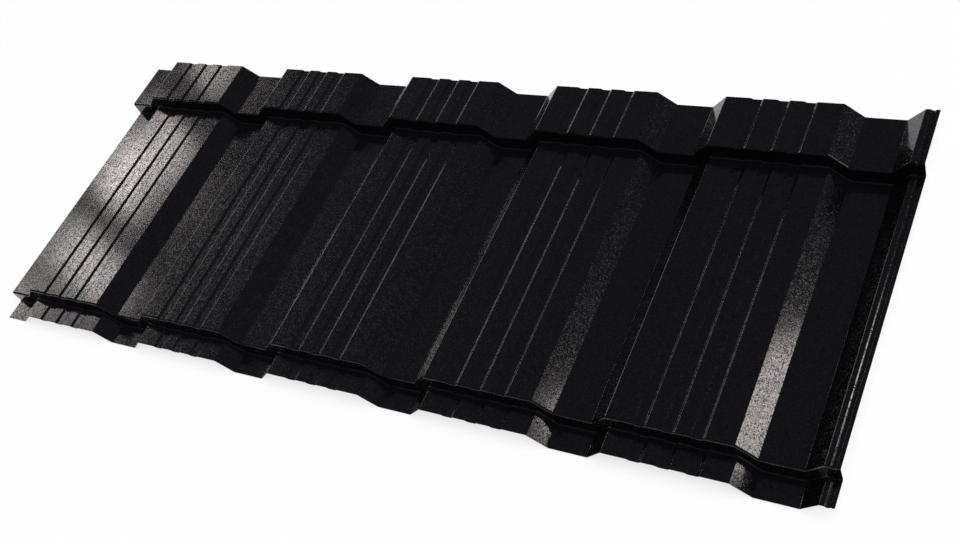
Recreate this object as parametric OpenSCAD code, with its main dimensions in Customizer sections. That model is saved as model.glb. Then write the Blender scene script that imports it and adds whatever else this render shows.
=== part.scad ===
// Stepped metal roof tile sheet, one course long.
// One piece of coated steel, roll formed into flat-topped waves and then stamped with two steps.
// It lies as it would on a level floor: on the feet of its two steps, so its courses lean back a little.
// X runs across the waves, Y runs up the roof and Z is up.

/* [Sheet] */
// Thickness of the coated steel
sheet_t = 0.5; // [0.4:0.05:0.8]
// Number of whole waves
wave_count = 5; // [3:1:7]

/* [Waves] */
// Distance from one wave to the next
wave_pitch = 230; // [220:1:260]
// Width of a wave's flat crest, from bend to bend
crest_w = 141; // [130:1:150]
// Width taken by each sloping side of a wave
side_w = 21.2; // [16:0.4:26]
// Height of the crest above the pan
wave_h = 20.5; // [14:0.5:28]
// Inside radius of the bends between pan, side and crest
wave_bend_r = 2.5; // [1:0.5:4]

/* [Crest grooves] */
// Number of stiffening grooves along each crest
groove_count = 3; // [1:1:3]
// Distance from one groove to the next
groove_pitch = 32; // [26:1:36]
// Width of a groove at its mouth
groove_w = 16; // [12:1:20]
// Depth of a groove
groove_depth = 2; // [1:0.25:3]
// Width taken by each sloping side of a groove
groove_side_w = 3; // [2:0.25:4]
// Inside radius of the groove bends
groove_bend_r = 1; // [0.5:0.25:1.5]

/* [Side edges] */
// Width of the flat flange on the left, which the next sheet's last wave covers
flange_w = 36.6; // [20:0.2:60]
// Width of the crest strip on the right, which hooks over the next sheet's first wave
hook_w = 15.2; // [14:0.2:30]
// Distance from the bend to the drip groove in that strip
drip_inset = 5; // [4:0.5:6]
// Width of the drip groove at its mouth
drip_w = 6; // [5:0.5:7]
// Depth of the drip groove
drip_depth = 1.8; // [1:0.2:2.4]
// Width taken by each sloping side of the drip groove
drip_side_w = 1.8; // [1.6:0.1:2.2]
// Inside radius of the drip groove's bends
drip_bend_r = 0.5; // [0.3:0.1:0.7]

/* [Steps] */
// Height of each stamped step
step_h = 21; // [14:0.5:28]
// Length of the course from one step to the next
course_l = 361.4; // [300:0.2:420]
// Length of the lip in front of the first step
lip_l = 31; // [20:0.5:60]
// Length of the tail behind the second step
tail_l = 77.6; // [50:0.2:140]
// Inside radius at the head and the foot of a step
step_bend_r = 2; // [1:0.5:4]

/* [Hidden] */
coat_colour = "#17171a";
// Straight pieces in a right-angled bend of the wave section
wave_bend_steps = 4;
// Straight pieces in a right-angled bend of a step
step_bend_steps = 1;
// How far the lower form block runs past the sheet on every side
overcut = 5;
// Depth of the upper form block below the lowest face
block_depth = 10;
// Shortest run of the stair that gets a form block of its own: a riser's run has no length
least_run = 0.001;

sheet_left = -flange_w;
sheet_right = wave_count * wave_pitch + side_w + hook_w;
sheet_l = lip_l + course_l + tail_l;
// Height of the upper face's highest crest above its lowest pan
sheet_rise = 2 * step_h + wave_h;

// The sheet rests on the feet of its two steps, which are a course apart and a step high.
rest_tilt = atan(step_h / course_l);

// Unit vector at an angle
function unit(angle) = [cos(angle), sin(angle)];

// Heading of the line from a to b
function heading(a, b) = atan2(b[1] - a[1], b[0] - a[0]);

// A corner's place, without its radius
function place(corner) = [corner[0], corner[1]];

// One bend at corner b, as points on an arc. The path is the sheet's upper face. The lower face is
// a sheet's thickness below it, on an arc about the same centre, and is given by drop.
function bend(a, b, c, r, drop, steps) =
    let (from = heading(a, b))
    let (to = heading(b, c))
    let (side = sign(to - from))
    let (face_r = side > 0 ? r : r + sheet_t)
    let (centre = b + unit((from + to) / 2 + side * 90) * face_r / cos((to - from) / 2))
    let (n = max(1, round(abs(to - from) * steps / 90)))
    [for (i = [0 : n]) centre + unit(from + (to - from) * i / n - side * 90) * (face_r + side * drop)];

// Straight runs with a bend at each inner corner. A corner is [along, height, inside radius].
function formed(corners, drop, steps) =
    let (last = len(corners) - 1)
    let (p = [for (c = corners) place(c)])
    [
        p[0] - [0, drop],
        for (i = [1 : last - 1]) each bend(p[i - 1], p[i], p[i + 1], corners[i][2], drop, steps),
        p[last] - [0, drop]
    ];

// Corners of one groove whose mouth starts at x
function groove(x, w, depth, side, r) = [
    [x, wave_h, r],
    [x + side, wave_h - depth, r],
    [x + w - side, wave_h - depth, r],
    [x + w, wave_h, r]
];

// Corners of one wave that rises at x
function wave(x) =
    let (crest = x + side_w)
    let (first_groove = crest + crest_w / 2 - (groove_count - 1) / 2 * groove_pitch - groove_w / 2)
    [
        [x, 0, wave_bend_r],
        [crest, wave_h, wave_bend_r],
        for (i = [0 : groove_count - 1])
            each groove(first_groove + i * groove_pitch, groove_w, groove_depth, groove_side_w, groove_bend_r),
        [crest + crest_w, wave_h, wave_bend_r],
        [crest + crest_w + side_w, 0, wave_bend_r]
    ];

// Section across the whole sheet, made wider by margin at both edges
function section_corners(margin) =
    let (x = wave_count * wave_pitch)
    [
        [sheet_left - margin, 0],
        for (i = [0 : wave_count - 1]) each wave(i * wave_pitch),
        [x, 0, wave_bend_r],
        [x + side_w, wave_h, wave_bend_r],
        each groove(x + side_w + drip_inset, drip_w, drip_depth, drip_side_w, drip_bend_r),
        [sheet_right + margin, wave_h]
    ];

// Stair line up the roof, made longer by margin at both ends
function stair_corners(margin) = [
    [-margin, 0],
    [lip_l, 0, step_bend_r],
    [lip_l, step_h, step_bend_r],
    [lip_l + course_l, step_h, step_bend_r],
    [lip_l + course_l, 2 * step_h, step_bend_r],
    [sheet_l + margin, 2 * step_h]
];

// Solid under the wave section while it climbs in a straight line from a to b of the stair
module under_run(section, a, b, floor_z) {
    slope = heading(a, b);
    run_l = norm(b - a);
    ends = [section[0][0], section[len(section) - 1][0]];
    reach = sheet_rise + 2 * block_depth;
    spare = reach * tan(slope);
    outline = [
        for (p = section) [p[0], p[1] * cos(slope)],
        [ends[1], -2 * reach],
        [ends[0], -2 * reach]
    ];
    intersection() {
        translate([0, b[0], b[1]])
        rotate([90 + slope, 0, 0])
        translate([0, 0, -spare])
        linear_extrude(height = run_l + 2 * spare)
        polygon(outline);
        translate([ends[0], a[0], floor_z])
        cube([ends[1] - ends[0], b[0] - a[0], 2 * reach]);
    }
}

// Form block whose top is one face of the sheet: the upper face, or the lower face where drop is its
// thickness. Both the section and the stair are dropped, so one drop is given back.
module form_block(drop, margin, floor_z) {
    section = formed(section_corners(margin), drop, wave_bend_steps);
    stair = formed(stair_corners(margin), drop, step_bend_steps);
    translate([0, 0, drop])
    for (i = [0 : len(stair) - 2])
        if (stair[i + 1][0] - stair[i][0] > least_run)
            under_run(section, stair[i], stair[i + 1], floor_z);
}

// The sheet is what lies between its two form blocks.
module formed_sheet() {
    difference() {
        form_block(0, 0, -block_depth);
        form_block(sheet_t, overcut, -block_depth - overcut);
    }
}

// The sheet at rest: leaned back onto the feet of its steps, and centred over the origin
module tile_sheet() {
    lower_face = formed(stair_corners(0), sheet_t, step_bend_steps);
    foot_z = min([for (p = lower_face) p[1] * cos(rest_tilt) - p[0] * sin(rest_tilt)]);
    front_y = -sheet_t * sin(rest_tilt);
    rear_y = sheet_l * cos(rest_tilt) + sheet_rise * sin(rest_tilt);
    color(coat_colour)
    translate([-(sheet_left + sheet_right) / 2, -(front_y + rear_y) / 2, -foot_z])
    rotate([-rest_tilt, 0, 0])
    formed_sheet();
}

tile_sheet();
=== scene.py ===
"""Stepped metal roof tile sheet: its coated surface, the camera and the studio.

The sheet is one surface of two parameters. The first runs along the section across the waves, the
second along the stair line up the roof, and a point's height is the sum of the two heights there.
"""

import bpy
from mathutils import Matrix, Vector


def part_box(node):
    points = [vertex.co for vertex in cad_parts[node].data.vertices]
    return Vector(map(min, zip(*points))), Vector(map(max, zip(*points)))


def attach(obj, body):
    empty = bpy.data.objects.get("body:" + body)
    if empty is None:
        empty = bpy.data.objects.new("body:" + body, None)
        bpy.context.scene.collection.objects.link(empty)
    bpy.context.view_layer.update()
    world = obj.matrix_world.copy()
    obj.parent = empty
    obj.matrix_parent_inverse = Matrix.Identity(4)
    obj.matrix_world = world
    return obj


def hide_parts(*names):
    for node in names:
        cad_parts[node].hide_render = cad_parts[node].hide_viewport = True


bl_info = {
    "name": "Stepped Roof Tile Sheet",
    "version": (1, 0, 0),
    "blender": (4, 5, 0),
    "location": "3D View > Sidebar > Roof Tile",
    "description": "Builds the looks of a stepped metal roof tile sheet on its packed solid",
    "category": "Add Mesh",
}

import bpy
import numpy as np
from bpy.props import FloatProperty, FloatVectorProperty, IntProperty, PointerProperty
from mathutils import Euler, Vector

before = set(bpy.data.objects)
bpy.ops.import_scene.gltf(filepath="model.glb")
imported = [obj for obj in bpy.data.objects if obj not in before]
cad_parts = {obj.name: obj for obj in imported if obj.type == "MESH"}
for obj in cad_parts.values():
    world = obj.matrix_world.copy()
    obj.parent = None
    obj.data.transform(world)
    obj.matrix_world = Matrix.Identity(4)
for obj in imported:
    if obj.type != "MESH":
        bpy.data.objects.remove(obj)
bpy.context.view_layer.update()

NODE = "tile_sheet"
BODY = "root"
BOX_LOW, BOX_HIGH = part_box(NODE)
MM = 0.001


def linear(hex_colour):
    """An sRGB hex colour as linear red, green, blue and alpha."""
    srgb = np.array([int(hex_colour[i : i + 2], 16) for i in (1, 3, 5)]) / 255
    rgb = np.where(srgb <= 0.04045, srgb / 12.92, ((srgb + 0.055) / 1.055) ** 2.4)
    return (*rgb, 1.0)


def length(name, description, default):
    """A size in metres that a user may change."""
    return FloatProperty(name=name, description=description, default=default, min=0, unit="LENGTH")


def count(name, description, default):
    """A whole number that a user may change."""
    return IntProperty(name=name, description=description, default=default, min=1)


def colour(name, description, hex_colour):
    """A colour that a user may change, given as sRGB hex."""
    default = linear(hex_colour)
    return FloatVectorProperty(
        name=name, description=description, default=default, size=4, subtype="COLOR"
    )


class SheetSizes(bpy.types.PropertyGroup):
    """The sheet's sizes, which are those of its solid"""

    thickness: length("Thickness", "Thickness of the coated steel", 0.5 * MM)
    wave_count: count("Waves", "Number of whole waves", 5)
    wave_pitch: length("Wave pitch", "Distance from one wave to the next", 230 * MM)
    crest_w: length("Crest width", "Width of a wave's flat crest", 141 * MM)
    side_w: length("Side width", "Width taken by each sloping side of a wave", 21.2 * MM)
    wave_h: length("Wave height", "Height of the crest above the pan", 20.5 * MM)
    wave_r: length("Wave bend", "Inside radius of the bends along the roof", 2.5 * MM)
    groove_count: count("Grooves", "Number of grooves along each crest", 3)
    groove_pitch: length("Groove pitch", "Distance from one groove to the next", 32 * MM)
    groove_w: length("Groove width", "Width of a groove at its mouth", 16 * MM)
    groove_depth: length("Groove depth", "Depth of a groove", 2 * MM)
    groove_side_w: length("Groove side", "Width taken by each side of a groove", 3 * MM)
    groove_r: length("Groove bend", "Inside radius of the groove bends", 1 * MM)
    flange_w: length("Flange width", "Width of the flat flange on the left", 36.6 * MM)
    drip_inset: length("Drip groove inset", "Distance from the bend to the drip groove", 5 * MM)
    drip_w: length("Drip groove width", "Width of the drip groove at its mouth", 6 * MM)
    drip_depth: length("Drip groove depth", "Depth of the drip groove", 1.8 * MM)
    drip_side_w: length("Drip groove side", "Width taken by each side of that groove", 1.8 * MM)
    drip_r: length("Drip groove bend", "Inside radius of the drip groove's bends", 0.5 * MM)
    step_h: length("Step height", "Height of each stamped step", 21 * MM)
    course_l: length("Course length", "Length from one step to the next", 361.4 * MM)
    lip_l: length("Lip length", "Length of the lip in front of the first step", 31 * MM)
    step_r: length("Step bend", "Inside radius at the head and the foot of a step", 2 * MM)


class CoatFinish(bpy.types.PropertyGroup):
    """Colours and patterns of the sheet's two coats"""

    face_colour: colour("Face coat", "Colour of the matte coat on the weather side", "#08080a")
    back_colour: colour("Back coat", "Colour of the thin coat on the underside", "#6f7173")
    # The real grain is 0.1 to 0.3 mm wide, too fine to show, so it is drawn 1.3 mm wide.
    grain: length("Grain", "Width of one grain of the matte coat", 1.3 * MM)
    grain_h: length("Grain relief", "How far each grain stands proud", 0.01 * MM)
    # The primer shows a little in patches of this width, where the back coat is thin.
    mottle: length("Mottling", "Width of a patch in the back coat", 12 * MM)


class StudioLook(bpy.types.PropertyGroup):
    """Colours and size of the studio"""

    floor_colour: colour("Floor", "Colour of the floor", "#f7f7f7")
    room_colour: colour("Room", "Colour of the dim room round the floor", "#58585f")
    lamp_colour: colour("Lamps", "Colour of the panel lamps", "#fff5f3")
    white_share: FloatProperty(
        name="White share",
        description="How much of the floor is seen as plain white, rather than as it is lit",
        default=0.7,
        min=0,
        max=1,
        subtype="FACTOR",
    )
    floor_r: length("Floor radius", "Radius of the round floor", 24.0)
    floor_gap: length("Floor gap", "How far the floor lies below the sheet's feet", 0.3 * MM)


def add_node(tree, kind, settings=None, inputs=None):
    """A node with its settings, and with each input set to a value or joined to another socket."""
    node = tree.nodes.new(kind)
    for name, value in (settings or {}).items():
        setattr(node, name, value)
    for name, value in (inputs or {}).items():
        if isinstance(value, bpy.types.NodeSocket):
            tree.links.new(value, node.inputs[name])
        else:
            node.inputs[name].default_value = value
    return node


def new_material(name):
    """An empty node material with its surface shader and output joined."""
    material = bpy.data.materials.new(name)
    material.use_nodes = True
    tree = material.node_tree
    tree.nodes.clear()
    shader = add_node(tree, "ShaderNodeBsdfPrincipled")
    output = add_node(tree, "ShaderNodeOutputMaterial", inputs={"Surface": shader.outputs["BSDF"]})
    return material, tree, shader, output


# Typical IOR of a baked polyester or epoxy coat
COAT_IOR = 1.5
# Roughness of the sharpest and the dullest grain, and the power that makes dull grains few
SHARP_GRAIN, DULL_GRAIN = 0.08, 0.5
DULL_RARITY = 5.0
# Specular level of the faintest and the brightest grain
FAINT_GRAIN, BRIGHT_GRAIN = 0.25, 0.75


def matte_polyester_coat(finish):
    """Matte polyester coil coat, baked on with a fine grain. The eye sees near-black faces that
    only glitter where they turn towards a lamp, because each grain shines in its own way."""
    material, tree, shader, _ = new_material("matte_polyester_coat")
    place = add_node(tree, "ShaderNodeTexCoord")
    # Each grain is a cell with a random colour.
    grain = add_node(
        tree,
        "ShaderNodeTexVoronoi",
        {"voronoi_dimensions": "3D", "feature": "F1"},
        {"Vector": place.outputs["Object"], "Scale": 1 / finish.grain},
    )
    chance = add_node(tree, "ShaderNodeSeparateColor", inputs={"Color": grain.outputs["Color"]})
    # The red of that colour, raised to a power, leaves most grains sharp and a few dull.
    dull = add_node(
        tree,
        "ShaderNodeMath",
        {"operation": "POWER"},
        {0: chance.outputs["Red"], 1: DULL_RARITY},
    )
    spread = add_node(
        tree,
        "ShaderNodeMapRange",
        inputs={"Value": dull.outputs["Value"], "To Min": SHARP_GRAIN, "To Max": DULL_GRAIN},
    )
    # Its green makes some grains shine more than others.
    shine = add_node(
        tree,
        "ShaderNodeMapRange",
        inputs={"Value": chance.outputs["Green"], "To Min": FAINT_GRAIN, "To Max": BRIGHT_GRAIN},
    )
    # A grain is highest in its middle, where the distance to it is least.
    relief = add_node(
        tree,
        "ShaderNodeBump",
        {"invert": True},
        {"Height": grain.outputs["Distance"], "Distance": finish.grain_h},
    )
    tree.links.new(relief.outputs["Normal"], shader.inputs["Normal"])
    tree.links.new(spread.outputs["Result"], shader.inputs["Roughness"])
    tree.links.new(shine.outputs["Result"], shader.inputs["Specular IOR Level"])
    shader.inputs["Base Color"].default_value = finish.face_colour
    shader.inputs["IOR"].default_value = COAT_IOR
    return material


# Roughness of the back coat where it is thinnest and thickest, and how finely its patches break up
THIN_COAT, THICK_COAT = 0.42, 0.52
MOTTLE_DETAIL = 3.0


def epoxy_back_coat(finish):
    """Thin grey epoxy back coat, rolled on. It looks plain and a little satin, and faint patches
    show where the coat is thin."""
    material, tree, shader, _ = new_material("epoxy_back_coat")
    place = add_node(tree, "ShaderNodeTexCoord")
    mottle = add_node(
        tree,
        "ShaderNodeTexNoise",
        {"noise_dimensions": "3D"},
        {"Vector": place.outputs["Object"], "Scale": 1 / finish.mottle, "Detail": MOTTLE_DETAIL},
    )
    tone = add_node(
        tree,
        "ShaderNodeMapRange",
        inputs={"Value": mottle.outputs["Fac"], "To Min": THIN_COAT, "To Max": THICK_COAT},
    )
    tree.links.new(tone.outputs["Result"], shader.inputs["Roughness"])
    shader.inputs["Base Color"].default_value = finish.back_colour
    shader.inputs["IOR"].default_value = COAT_IOR
    return material


# Straight pieces in each bend
BEND_STEPS = 6


def formed_line(corners, thickness):
    """Both faces of a formed line, and the direction of its face at each point.

    Corners are rows of along, height and inside radius. Each inner corner becomes an arc about the
    centre that both faces share: the upper face turns at the inside radius where the line turns
    upwards, and at that radius plus the thickness where it turns downwards. The lower face keeps
    to the same centre, a thickness further or nearer.
    """
    place, inside_r = corners[:, :2], corners[1:-1, 2]
    run = np.diff(place, axis=0)
    heading = np.arctan2(run[:, 1], run[:, 0])
    turn = np.diff(heading)
    side = np.sign(turn)
    face_r = np.where(side > 0, inside_r, inside_r + thickness)
    middle = heading[:-1] + turn / 2 + side * np.pi / 2
    reach = face_r / np.cos(turn / 2)
    centre = place[1:-1] + np.c_[np.cos(middle), np.sin(middle)] * reach[:, None]
    angle = heading[:-1, None] + turn[:, None] * np.linspace(0, 1, BEND_STEPS + 1)
    spoke = angle - side[:, None] * np.pi / 2
    ray = np.stack([np.cos(spoke), np.sin(spoke)], axis=-1)
    upper = centre[:, None] + ray * face_r[:, None, None]
    lower = centre[:, None] + ray * (face_r + side * thickness)[:, None, None]
    drop = np.array([[0, thickness]])
    upper = np.concatenate([place[:1], upper.reshape(-1, 2), place[-1:]])
    lower = np.concatenate([place[:1] - drop, lower.reshape(-1, 2), place[-1:] - drop])
    angle = np.concatenate([heading[:1], angle.ravel(), heading[-1:]])
    return upper, lower, angle


def groove(width, depth, side_w, bend_r, height):
    """Corners of one groove, as rows of along, height and inside radius.

    It falls to its depth over the width of one side, runs flat, and climbs back over as much.
    """
    along = np.array([0, side_w, width - side_w, width])
    down = np.array([0, depth, depth, 0])
    return np.c_[along, height - down, np.full(len(along), bend_r)]


def repeated(corners, starts):
    """The corners once for each start, moved along by it."""
    moved = corners + np.array([1, 0, 0]) * starts[:, None, None]
    return moved.reshape(-1, 3)


def wave_section(sizes):
    """Corners of the section across the sheet: flange, waves with their grooves, and hook strip.

    The grooves are centred on a wave's crest. Each further wave is the first one's corners, moved
    along by a whole number of pitches.
    """
    s = sizes
    grooves_w = (s.groove_count - 1) * s.groove_pitch + s.groove_w
    first_groove = s.side_w + (s.crest_w - grooves_w) / 2
    crest_groove = groove(s.groove_w, s.groove_depth, s.groove_side_w, s.groove_r, s.wave_h)
    crest_end = s.side_w + s.crest_w
    wave = np.concatenate([
        [[0, 0, s.wave_r], [s.side_w, s.wave_h, s.wave_r]],
        repeated(crest_groove, first_groove + s.groove_pitch * np.arange(s.groove_count)),
        [[crest_end, s.wave_h, s.wave_r], [crest_end + s.side_w, 0, s.wave_r]],
    ])
    waves_end = s.wave_count * s.wave_pitch
    strip = waves_end + s.side_w
    drip_groove = groove(s.drip_w, s.drip_depth, s.drip_side_w, s.drip_r, s.wave_h)
    edge = BOX_HIGH.x - BOX_LOW.x - s.flange_w
    return np.concatenate([
        [[-s.flange_w, 0, 0]],
        repeated(wave, s.wave_pitch * np.arange(s.wave_count)),
        [[waves_end, 0, s.wave_r], [strip, s.wave_h, s.wave_r]],
        repeated(drip_groove, np.array([strip + s.drip_inset])),
        [[edge, s.wave_h, 0]],
    ])


def stair_line(sizes, lean):
    """Corners of the stair line up the roof: lip, first step, course, second step and tail.

    The tail ends where the sheet, once it leans back, fills its box from front to back.
    """
    s = sizes
    rise = 2 * s.step_h + s.wave_h + s.thickness
    depth = BOX_HIGH.y - BOX_LOW.y
    end = (depth - rise * np.sin(lean)) / np.cos(lean)
    back = s.lip_l + s.course_l
    return np.array([
        [0, 0, 0],
        [s.lip_l, 0, s.step_r],
        [s.lip_l, s.step_h, s.step_r],
        [back, s.step_h, s.step_r],
        [back, 2 * s.step_h, s.step_r],
        [end, 2 * s.step_h, 0],
    ])


def face_grid(section, stair, lift):
    """Points of one face: x from the section, y from the stair, and z the sum of both heights."""
    x, y = np.meshgrid(section[:, 0], stair[:, 0], indexing="ij")
    z = section[:, 1][:, None] + stair[:, 1][None, :] + lift
    return np.stack([x, y, z], axis=-1)


def face_normals(section_angle, stair_angle):
    """Upward unit normals: the cross product of the section's direction and the stair's."""
    a, b = section_angle[:, None], stair_angle[None, :]
    cross = np.stack([
        -np.sin(a) * np.cos(b),
        -np.cos(a) * np.sin(b),
        np.cos(a) * np.cos(b),
    ], axis=-1)
    return cross / np.linalg.norm(cross, axis=-1, keepdims=True)


def laid_back(vectors, lean):
    """Points or directions turned about X, so that the sheet leans back on its steps' feet."""
    turn = np.array(Euler((-lean, 0, 0)).to_matrix())
    return vectors @ turn.T


def sheet_points(sizes):
    """The upper and the lower face at rest, as two grids of points, and the upper one's normals.

    Each face is the sum of the section's height and the stair's height, on grids of one size, so
    that the faces meet at the edges. Normals come from the two lines' directions, which keeps flat
    faces flat and bends round. The sheet is centred over the origin and its feet are at z = 0.
    """
    lean = np.arctan2(sizes.step_h, sizes.course_l)
    upper_section, lower_section, section_angle = formed_line(wave_section(sizes), sizes.thickness)
    upper_stair, lower_stair, stair_angle = formed_line(stair_line(sizes, lean), sizes.thickness)
    # Both lower lines lie a thickness down, so one thickness is given back.
    faces = np.stack([
        face_grid(upper_section, upper_stair, 0),
        face_grid(lower_section, lower_stair, sizes.thickness),
    ])
    points = laid_back(faces, lean)
    low, high = points.min(axis=(0, 1, 2)), points.max(axis=(0, 1, 2))
    points -= [*((low[:2] + high[:2]) / 2), low[2]]
    return points, laid_back(face_normals(section_angle, stair_angle), lean)


def quads(row, next_row):
    """Quads between a row of point numbers and the next row, which lies to its right.

    Grids of rows give the quads between each row and its next one.
    """
    corners = [row[..., :-1], row[..., 1:], next_row[..., 1:], next_row[..., :-1]]
    return np.stack(corners, axis=-1).reshape(-1, len(corners))


# Places of the two coats in the mesh's list of materials
FACE_COAT, BACK_COAT = 0, 1


def sheet_mesh(sizes):
    """The sheet as a closed mesh: an upper and a lower face, and a strip of edge all round.

    A normal of the edge is the cross product of the diagonals of its quad.
    """
    points, normals = sheet_points(sizes)
    upper, lower = np.arange(points[..., 0].size).reshape(points.shape[:3])
    points, normals = points.reshape(-1, 3), normals.reshape(-1, 3)
    top = quads(upper[:-1], upper[1:])[:, ::-1]
    bottom = quads(lower[:-1], lower[1:])
    edge = np.concatenate([
        quads(upper[0], lower[0]),
        quads(lower[-1], upper[-1]),
        quads(lower[:, 0], upper[:, 0]),
        quads(upper[:, -1], lower[:, -1]),
    ])

    corner = points[edge]
    edge_normals = np.cross(corner[:, 2] - corner[:, 0], corner[:, 3] - corner[:, 1])
    edge_normals /= np.linalg.norm(edge_normals, axis=1, keepdims=True)
    corner_normals = np.concatenate([
        normals[top.ravel()],
        -normals[bottom.ravel() - upper.size],
        np.repeat(edge_normals, edge.shape[1], axis=0),
    ])

    mesh = bpy.data.meshes.new(NODE)
    mesh.from_pydata(points, [], np.concatenate([top, bottom, edge]))
    mesh.update()
    mesh.normals_split_custom_set(corner_normals)
    coats = np.repeat([FACE_COAT, BACK_COAT, FACE_COAT], [len(top), len(bottom), len(edge)])
    mesh.polygons.foreach_set("material_index", coats)
    return mesh


def add_object(name, data, place=(0, 0, 0), turn=(0, 0, 0)):
    """A mesh, lamp or camera in the scene. A mesh stays at the origin, unturned."""
    item = bpy.data.objects.new(name, data)
    item.location = place
    item.rotation_euler = turn
    bpy.context.scene.collection.objects.link(item)
    return item


class SHEET_OT_tile(bpy.types.Operator):
    """Build the coated sheet in place of the plain solid"""

    bl_idname = "roof_tile.sheet"
    bl_label = "Tile sheet"

    def execute(self, context):
        finish = context.scene.coat_finish
        mesh = sheet_mesh(context.scene.sheet_sizes)
        mesh.materials.append(matte_polyester_coat(finish))
        mesh.materials.append(epoxy_back_coat(finish))
        piece = add_object("coated_tile_sheet", mesh)
        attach(piece, BODY)
        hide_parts(NODE)
        return {"FINISHED"}


# The camera, solved from the corners of the sheet in the photograph: its place in metres, its
# turns about X, Y and Z in degrees, and its lens and sensor in millimetres
CAMERA_PLACE = (0.8501, -0.61883, 1.0937)
CAMERA_TURN = (35.3217, 21.4962, 23.8257)
CAMERA_LENS, CAMERA_SENSOR = 43.494, 36.0

# Distance from the middle of the sheet to the left wall, in metres
LEFT_WALL = 12.0
# Upright panels on the left wall. Each row gives how far back the panel's middle is, its width, and
# the heights of its lower and upper edges, all as fractions of the wall's distance, and then its
# radiance.
LEFT_ROW = (
    (0.32, 0.06, 0.65, 0.70, 5.5),
    (0.36, 0.06, 0.60, 0.79, 1.8),
    (0.42, 0.06, 0.67, 0.78, 8.8),
    (0.53, 0.08, 0.66, 0.72, 14.0),
    (0.60, 0.06, 0.67, 0.74, 9.5),
    (0.75, 0.12, 0.67, 0.72, 7.0),
    # A long low window, which draws the pale lines along the bends
    (0.50, 0.70, 0.05, 0.25, 3.0),
)

# The tall panel on the right, which draws the bright patches on the right slopes: its azimuth and
# elevation in degrees and its distance, its turn in its own plane, its width and height, and its
# radiance
RIGHT_PLACE = (64.8, 16.8, 8.7)
RIGHT_TURN = 22.0
RIGHT_SIZE = (0.91, 2.75)
RIGHT_RADIANCE = 8.5

# The soft key lamp, which lights the floor and the faces that mirror no panel: its azimuth and
# elevation in degrees and its distance, the angle in degrees that its light comes from, and its
# strength
KEY_PLACE = (98, 62, 3.0)
KEY_ANGLE = 60
KEY_STRENGTH = 3.2

# Straight pieces in the edge of the round floor
FLOOR_SIDES = 96
# Roughness of backdrop paper, which has no shine
PAPER_ROUGHNESS = 0.9


def from_compass(azimuth, elevation, distance):
    """A place seen from the origin, with its azimuth in degrees clockwise from +Y.

    Its height is the distance times the sine of the elevation, and the cosine's share of the
    distance is split over X and Y by the azimuth's sine and cosine.
    """
    a, e = np.radians(azimuth), np.radians(elevation)
    return Vector((np.sin(a) * np.cos(e), np.cos(a) * np.cos(e), np.sin(e))) * distance


def facing_origin(place):
    """Turn that points an object's -Z from its place to the origin."""
    return (-place).to_track_quat("-Z", "Y").to_matrix()


def panel_lamp(name, place, turn, size, radiance, look):
    """A flat rectangular lamp. Its power is its radiance times pi times its area."""
    light = bpy.data.lights.new(name, "AREA")
    light.shape = "RECTANGLE"
    light.size, light.size_y = size
    light.color = look.lamp_colour[:3]
    light.energy = radiance * np.pi * size[0] * size[1]
    add_object(name, light, place, turn)


def left_panels(look):
    """The row of panels on the left wall, which shine along +X."""
    upright = Euler((np.pi / 2, 0, -np.pi / 2))
    for number, (back, width, low, high, radiance) in enumerate(LEFT_ROW, 1):
        place = Vector((-1, back, (low + high) / 2)) * LEFT_WALL
        size = (width * LEFT_WALL, (high - low) * LEFT_WALL)
        panel_lamp(f"left_panel_{number}", place, upright, size, radiance, look)


def right_panel(look):
    """The tall panel on the right: it faces the sheet, and is turned in its own plane."""
    place = from_compass(*RIGHT_PLACE)
    turn = facing_origin(place) @ Euler((0, 0, np.radians(RIGHT_TURN))).to_matrix()
    panel_lamp("right_panel", place, turn.to_euler(), RIGHT_SIZE, RIGHT_RADIANCE, look)


def key_lamp():
    """The soft key lamp. It lights the floor and the matte faces, and no shiny face mirrors it."""
    light = bpy.data.lights.new("key", "SUN")
    light.energy = KEY_STRENGTH
    light.angle = np.radians(KEY_ANGLE)
    place = from_compass(*KEY_PLACE)
    lamp = add_object("key", light, place, facing_origin(place).to_euler())
    lamp.visible_glossy = False


def dim_room(look):
    """An even, dim room all round."""
    world = bpy.data.worlds.new("dim_room")
    world.use_nodes = True
    world.node_tree.nodes["Background"].inputs["Color"].default_value = look.room_colour
    bpy.context.scene.world = world


def photograph_camera():
    """The camera as it stood for the photograph."""
    lens = bpy.data.cameras.new("camera")
    lens.lens = CAMERA_LENS
    lens.sensor_width = CAMERA_SENSOR
    return add_object("camera", lens, CAMERA_PLACE, Euler(np.radians(CAMERA_TURN)))


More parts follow.
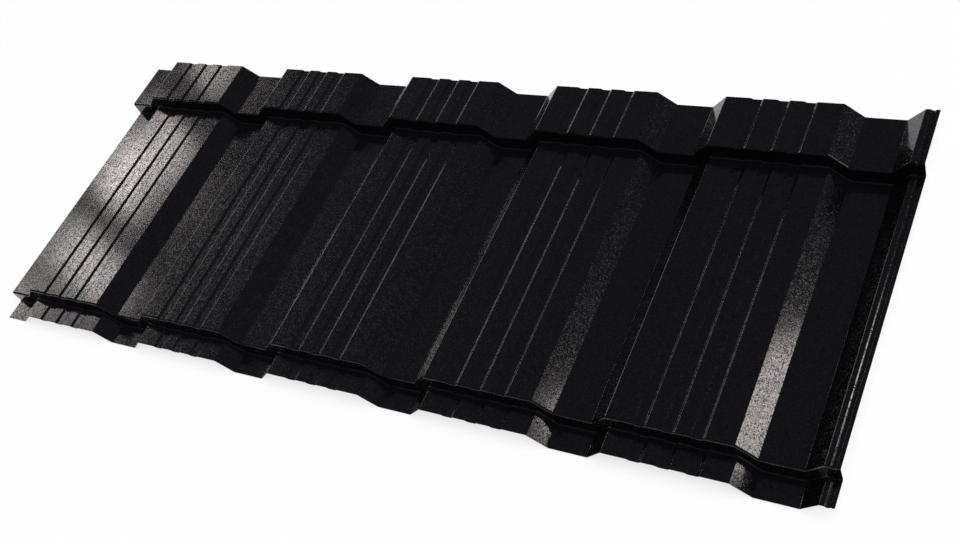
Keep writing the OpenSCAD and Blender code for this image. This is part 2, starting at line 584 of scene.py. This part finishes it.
def matte_white_paper(look):
    """Matte white backdrop paper. The eye sees an even white, and a faint shadow by the sheet."""
    material, tree, shader, output = new_material("matte_white_paper")
    shader.inputs["Base Color"].default_value = look.floor_colour
    shader.inputs["Roughness"].default_value = PAPER_ROUGHNESS
    shader.inputs["Specular IOR Level"].default_value = 0.0
    # The camera and shiny or clear surfaces see part of the paper as plain white. The rest is lit,
    # and keeps the sheet's shadow.
    ray = add_node(tree, "ShaderNodeLightPath")
    seen_or_mirrored = add_node(
        tree,
        "ShaderNodeMath",
        {"operation": "MAXIMUM"},
        {0: ray.outputs["Is Camera Ray"], 1: ray.outputs["Is Glossy Ray"]},
    )
    seen_at_all = add_node(
        tree,
        "ShaderNodeMath",
        {"operation": "MAXIMUM"},
        {0: seen_or_mirrored.outputs["Value"], 1: ray.outputs["Is Transmission Ray"]},
    )
    share = add_node(
        tree,
        "ShaderNodeMath",
        {"operation": "MULTIPLY"},
        {0: seen_at_all.outputs["Value"], 1: look.white_share},
    )
    white = add_node(tree, "ShaderNodeEmission", inputs={"Strength": 1.0})
    lit, plain = shader.outputs["BSDF"], white.outputs["Emission"]
    paper = add_node(
        tree, "ShaderNodeMixShader", inputs={0: share.outputs["Value"], 1: lit, 2: plain}
    )
    tree.links.new(paper.outputs["Shader"], output.inputs["Surface"])
    return material


def studio_floor(look):
    """A round flat floor: evenly spaced points on a circle, joined as one face."""
    angle = np.linspace(0, 2 * np.pi, FLOOR_SIDES, endpoint=False)
    rim = np.c_[np.cos(angle), np.sin(angle), np.zeros(FLOOR_SIDES)] * look.floor_r
    rim[:, 2] -= look.floor_gap
    mesh = bpy.data.meshes.new("studio_floor")
    mesh.from_pydata(rim, [], [list(range(FLOOR_SIDES))])
    mesh.update()
    mesh.materials.append(matte_white_paper(look))
    floor = add_object("studio_floor", mesh)


class SHEET_OT_stage(bpy.types.Operator):
    """Set up the floor, the lamps, the dim room and the camera"""

    bl_idname = "roof_tile.stage"
    bl_label = "Studio and camera"

    def execute(self, context):
        look = context.scene.studio_look
        studio_floor(look)
        left_panels(look)
        right_panel(look)
        key_lamp()
        dim_room(look)
        context.scene.camera = photograph_camera()
        context.scene.view_settings.view_transform = "Standard"
        return {"FINISHED"}


class SHEET_PT_panel(bpy.types.Panel):
    """The sheet's pieces, sizes and finish"""

    bl_label = "Roof Tile Sheet"
    bl_idname = "SHEET_PT_panel"
    bl_space_type = "VIEW_3D"
    bl_region_type = "UI"
    bl_category = "Roof Tile"

    def draw(self, context):
        for operator in OPERATORS:
            self.layout.operator(operator.bl_idname)
        for name in GROUPS:
            settings = getattr(context.scene, name)
            box = self.layout.box()
            for setting in settings.__annotations__:
                box.prop(settings, setting)


GROUPS = {"sheet_sizes": SheetSizes, "coat_finish": CoatFinish, "studio_look": StudioLook}
OPERATORS = (SHEET_OT_tile, SHEET_OT_stage)
CLASSES = (*GROUPS.values(), *OPERATORS, SHEET_PT_panel)


def register():
    """Add the classes, and give each scene its sizes, finish and studio."""
    for listed in CLASSES:
        bpy.utils.register_class(listed)
    for name, group in GROUPS.items():
        setattr(bpy.types.Scene, name, PointerProperty(type=group))


def unregister():
    """Take away what register added."""
    for name in GROUPS:
        delattr(bpy.types.Scene, name)
    for listed in reversed(CLASSES):
        bpy.utils.unregister_class(listed)


def main():
    """Build the studio and the sheet."""
    register()
    bpy.ops.roof_tile.stage()
    bpy.ops.roof_tile.sheet()


if __name__ == "__main__":
    main()
